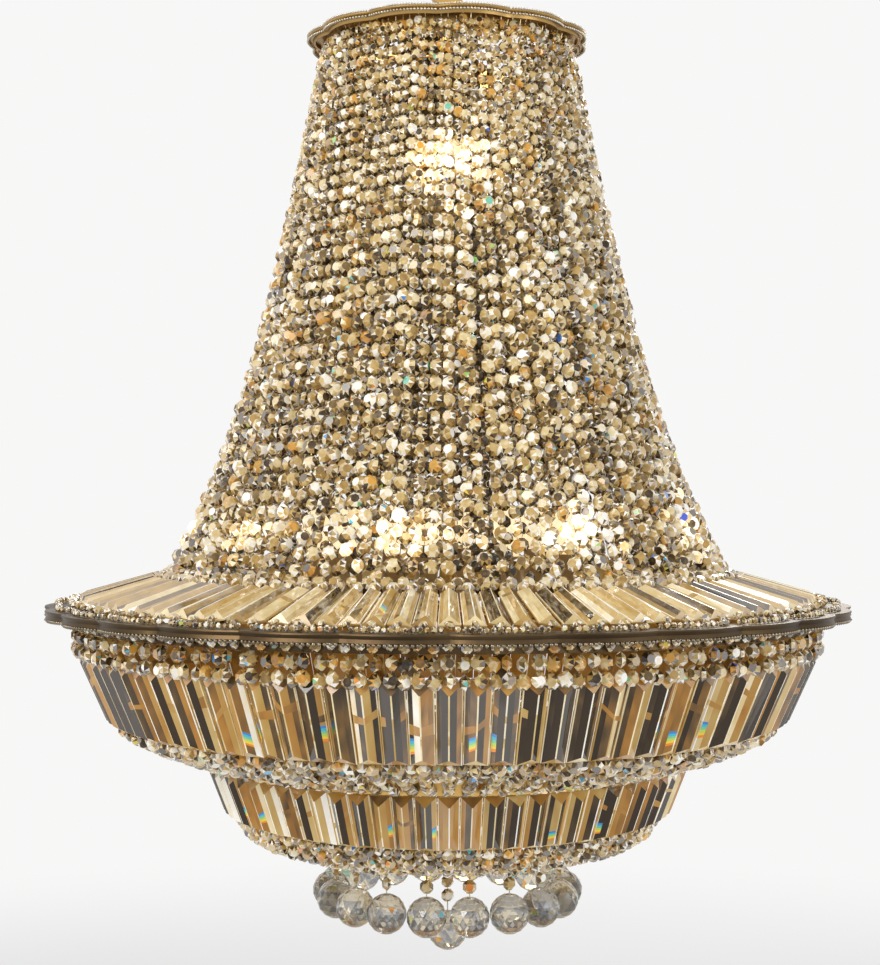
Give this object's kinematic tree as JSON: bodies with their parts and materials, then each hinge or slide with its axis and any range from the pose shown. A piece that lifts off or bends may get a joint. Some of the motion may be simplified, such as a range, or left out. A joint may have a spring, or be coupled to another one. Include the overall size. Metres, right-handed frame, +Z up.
{
  "type": "crystal basket chandelier",
  "caption": "Empire-style crystal chandelier: flared curtain of bead strands from a scalloped crown to a wide scalloped rim, over two stepped prism baskets with hanging faceted balls.",
  "frame": {"origin": "centre of the hanging eye's bore, from which the whole chandelier hangs", "axes": "+Z up along the stem, front towards -Y; the eye's bore runs along Y"},
  "size_m": [0.7952, 0.7952, 0.9949],
  "materials": {
    "brass": "polished gilt brass, slightly aged",
    "dark_brass": "dark aged brass, satin",
    "crystal": "cut crystal, warm champagne in the lamps' light",
    "clear_crystal": "clear faceted crystal",
    "lamp_sleeve": "cream candle sleeve",
    "lamp_glass": "warm frosted lamp glass, lit"
  },
  "bodies": {
    "frame": {"hanging_eye": "brass", "center_stem": "brass", "crown_band": "brass", "crown_collar": "brass", "crown_spider": "brass", "rim_band": "dark_brass", "rim_collar": "dark_brass", "rim_spider": "brass", "mid_ring": "brass", "bottom_ring": "brass", "bottom_spider": "brass", "stem_nut": "brass", "lamp_holders": "lamp_sleeve", "bulbs": "lamp_glass", "upper_lamp_plate": "brass", "upper_lamp_holders": "lamp_sleeve", "upper_bulbs": "lamp_glass", "curtain_strands_1": "crystal", "curtain_strands_2": "crystal", "curtain_strands_3": "crystal", "curtain_strands_4": "crystal", "curtain_strands_5": "crystal", "curtain_strands_6": "crystal", "canopy_prisms": "crystal", "upper_basket_beads": "crystal", "upper_basket_prisms": "crystal", "upper_basket_chains": "crystal", "lower_basket_prisms": "crystal", "lower_basket_chains": "crystal", "upper_basket_ribs": "brass", "basket_band": "brass", "lower_basket_ribs": "brass"},
    "drop_01": {"ball_drop_01": "clear_crystal"},
    "drop_02": {"ball_drop_02": "clear_crystal"},
    "drop_03": {"ball_drop_03": "clear_crystal"},
    "drop_04": {"ball_drop_04": "clear_crystal"},
    "drop_05": {"ball_drop_05": "clear_crystal"},
    "drop_06": {"ball_drop_06": "clear_crystal"},
    "drop_07": {"ball_drop_07": "clear_crystal"},
    "drop_08": {"ball_drop_08": "clear_crystal"},
    "drop_09": {"ball_drop_09": "clear_crystal"},
    "drop_10": {"ball_drop_10": "clear_crystal"},
    "drop_11": {"ball_drop_11": "clear_crystal"},
    "drop_12": {"ball_drop_12": "clear_crystal"},
    "drop_13": {"ball_drop_13": "clear_crystal"},
    "drop_14": {"ball_drop_14": "clear_crystal"},
    "drop_15": {"ball_drop_15": "clear_crystal"},
    "drop_16": {"ball_drop_16": "clear_crystal"},
    "drop_17": {"ball_drop_17": "clear_crystal"},
    "drop_18": {"ball_drop_18": "clear_crystal"},
    "centre_drop": {"centre_drop": "clear_crystal"}
  },
  "joints": [
    {"name": "drop_01_swing", "type": "hinge", "parent": "frame", "child": "drop_01", "pos_m": [0.02028, -0.11503, -0.87], "axis": [-0.9848, -0.1736, 0], "range_deg": [-4, 40]},
    {"name": "drop_02_swing", "type": "hinge", "parent": "frame", "child": "drop_02", "pos_m": [0.0584, -0.10115, -0.87], "axis": [-0.866, -0.5, 0], "range_deg": [-4, 40]},
    {"name": "drop_03_swing", "type": "hinge", "parent": "frame", "child": "drop_03", "pos_m": [0.08948, -0.07508, -0.87], "axis": [-0.6428, -0.766, 0], "range_deg": [-4, 40]},
    {"name": "drop_04_swing", "type": "hinge", "parent": "frame", "child": "drop_04", "pos_m": [0.10976, -0.03995, -0.87], "axis": [-0.342, -0.9397, 0], "range_deg": [-4, 40]},
    {"name": "drop_05_swing", "type": "hinge", "parent": "frame", "child": "drop_05", "pos_m": [0.1168, 0, -0.87], "axis": [0, -1, 0], "range_deg": [-4, 40]},
    {"name": "drop_06_swing", "type": "hinge", "parent": "frame", "child": "drop_06", "pos_m": [0.10976, 0.03995, -0.87], "axis": [0.342, -0.9397, 0], "range_deg": [-4, 40]},
    {"name": "drop_07_swing", "type": "hinge", "parent": "frame", "child": "drop_07", "pos_m": [0.08948, 0.07508, -0.87], "axis": [0.6428, -0.766, 0], "range_deg": [-4, 40]},
    {"name": "drop_08_swing", "type": "hinge", "parent": "frame", "child": "drop_08", "pos_m": [0.0584, 0.10115, -0.87], "axis": [0.866, -0.5, 0], "range_deg": [-4, 40]},
    {"name": "drop_09_swing", "type": "hinge", "parent": "frame", "child": "drop_09", "pos_m": [0.02028, 0.11503, -0.87], "axis": [0.9848, -0.1736, 0], "range_deg": [-4, 40]},
    {"name": "drop_10_swing", "type": "hinge", "parent": "frame", "child": "drop_10", "pos_m": [-0.02028, 0.11503, -0.87], "axis": [0.9848, 0.1736, 0], "range_deg": [-4, 40]},
    {"name": "drop_11_swing", "type": "hinge", "parent": "frame", "child": "drop_11", "pos_m": [-0.0584, 0.10115, -0.87], "axis": [0.866, 0.5, 0], "range_deg": [-4, 40]},
    {"name": "drop_12_swing", "type": "hinge", "parent": "frame", "child": "drop_12", "pos_m": [-0.08948, 0.07508, -0.87], "axis": [0.6428, 0.766, 0], "range_deg": [-4, 40]},
    {"name": "drop_13_swing", "type": "hinge", "parent": "frame", "child": "drop_13", "pos_m": [-0.10976, 0.03995, -0.87], "axis": [0.342, 0.9397, 0], "range_deg": [-4, 40]},
    {"name": "drop_14_swing", "type": "hinge", "parent": "frame", "child": "drop_14", "pos_m": [-0.1168, 0, -0.87], "axis": [0, 1, 0], "range_deg": [-4, 40]},
    {"name": "drop_15_swing", "type": "hinge", "parent": "frame", "child": "drop_15", "pos_m": [-0.10976, -0.03995, -0.87], "axis": [-0.342, 0.9397, 0], "range_deg": [-4, 40]},
    {"name": "drop_16_swing", "type": "hinge", "parent": "frame", "child": "drop_16", "pos_m": [-0.08948, -0.07508, -0.87], "axis": [-0.6428, 0.766, 0], "range_deg": [-4, 40]},
    {"name": "drop_17_swing", "type": "hinge", "parent": "frame", "child": "drop_17", "pos_m": [-0.0584, -0.10115, -0.87], "axis": [-0.866, 0.5, 0], "range_deg": [-4, 40]},
    {"name": "drop_18_swing", "type": "hinge", "parent": "frame", "child": "drop_18", "pos_m": [-0.02028, -0.11503, -0.87], "axis": [-0.9848, 0.1736, 0], "range_deg": [-4, 40]},
    {"name": "centre_drop_swing", "type": "hinge", "parent": "frame", "child": "centre_drop", "pos_m": [0, 0, -0.8904], "axis": [1, 0, 0], "range_deg": [-30, 30]}
  ]
}
